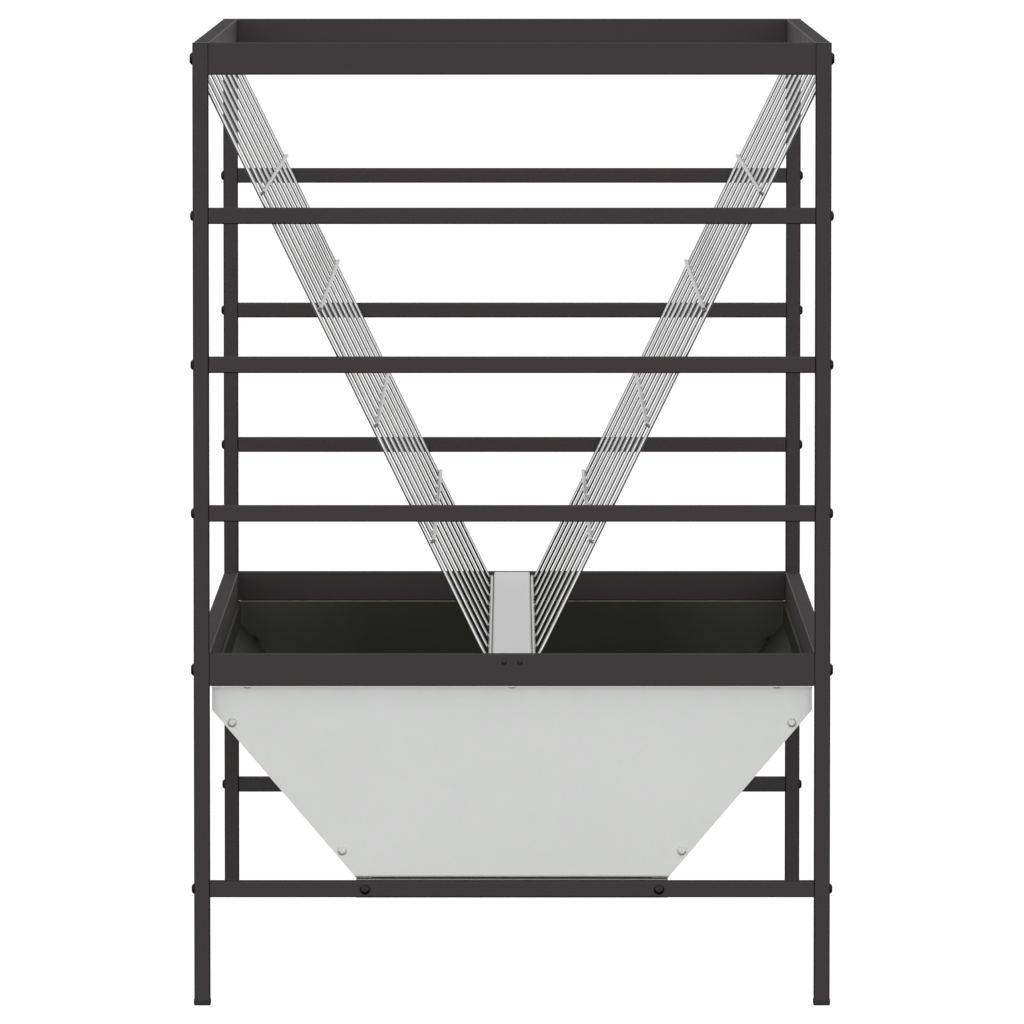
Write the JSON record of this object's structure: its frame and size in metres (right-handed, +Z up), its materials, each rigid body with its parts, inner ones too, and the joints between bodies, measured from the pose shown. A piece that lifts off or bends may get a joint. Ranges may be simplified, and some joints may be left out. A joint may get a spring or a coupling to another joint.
{
  "type": "hay rack feeder",
  "caption": "Free-standing hay rack feeder: square-tube frame with a V-shaped wire hay rack over a folded sheet-metal trough.",
  "frame": {"origin": "on the floor below the middle of the feeder", "axes": "+Z up, +Y along the feeder's length from its front end to its back end, +X across it to the right"},
  "size_m": [0.6456, 1.0854, 0.969],
  "materials": {
    "powder_coated_tube": "anthracite powder coat, fine texture, satin",
    "black_plastic": "moulded black polyethylene, satin",
    "zinc_wire": "bright zinc-plated drawn wire",
    "galvanised_sheet": "hot-dip galvanised sheet with faint spangle",
    "black_bolt": "black coated steel, semi-gloss",
    "zinc_screw": "bright zinc-plated steel"
  },
  "bodies": {
    "root": {"band_bolts": "black_bolt", "band_inserts": "zinc_screw", "bottom_rail_back": "powder_coated_tube", "bottom_rail_front": "powder_coated_tube", "centre_channel": "galvanised_sheet", "channel_nuts": "zinc_screw", "channel_screws": "black_bolt", "end_panel_nuts": "zinc_screw", "end_panel_screws": "zinc_screw", "end_rail_back_lower": "powder_coated_tube", "end_rail_back_middle": "powder_coated_tube", "end_rail_back_upper": "powder_coated_tube", "end_rail_front_lower": "powder_coated_tube", "end_rail_front_middle": "powder_coated_tube", "end_rail_front_upper": "powder_coated_tube", "floor_bolt_nuts": "zinc_screw", "floor_bolts": "black_bolt", "floor_seam_nuts": "zinc_screw", "floor_seam_screws": "zinc_screw", "foot_cap_back_left": "black_plastic", "foot_cap_back_right": "black_plastic", "foot_cap_front_left": "black_plastic", "foot_cap_front_right": "black_plastic", "hay_grid_left": "zinc_wire", "hay_grid_right": "zinc_wire", "post_back_left": "powder_coated_tube", "post_back_right": "powder_coated_tube", "post_front_left": "powder_coated_tube", "post_front_right": "powder_coated_tube", "post_plug_back_left": "black_plastic", "post_plug_back_right": "black_plastic", "post_plug_front_left": "black_plastic", "post_plug_front_right": "black_plastic", "rail_bolts": "black_bolt", "rail_inserts": "zinc_screw", "rim_flange_screws": "zinc_screw", "top_band_back": "powder_coated_tube", "top_band_front": "powder_coated_tube", "top_band_left": "powder_coated_tube", "top_band_right": "powder_coated_tube", "trough_end_panel_back": "galvanised_sheet", "trough_end_panel_front": "galvanised_sheet", "trough_floor": "galvanised_sheet", "trough_rim_back": "powder_coated_tube", "trough_rim_front": "powder_coated_tube", "trough_rim_left": "powder_coated_tube", "trough_rim_right": "powder_coated_tube", "trough_side_panel_left": "galvanised_sheet", "trough_side_panel_right": "galvanised_sheet"}
  },
  "joints": []
}
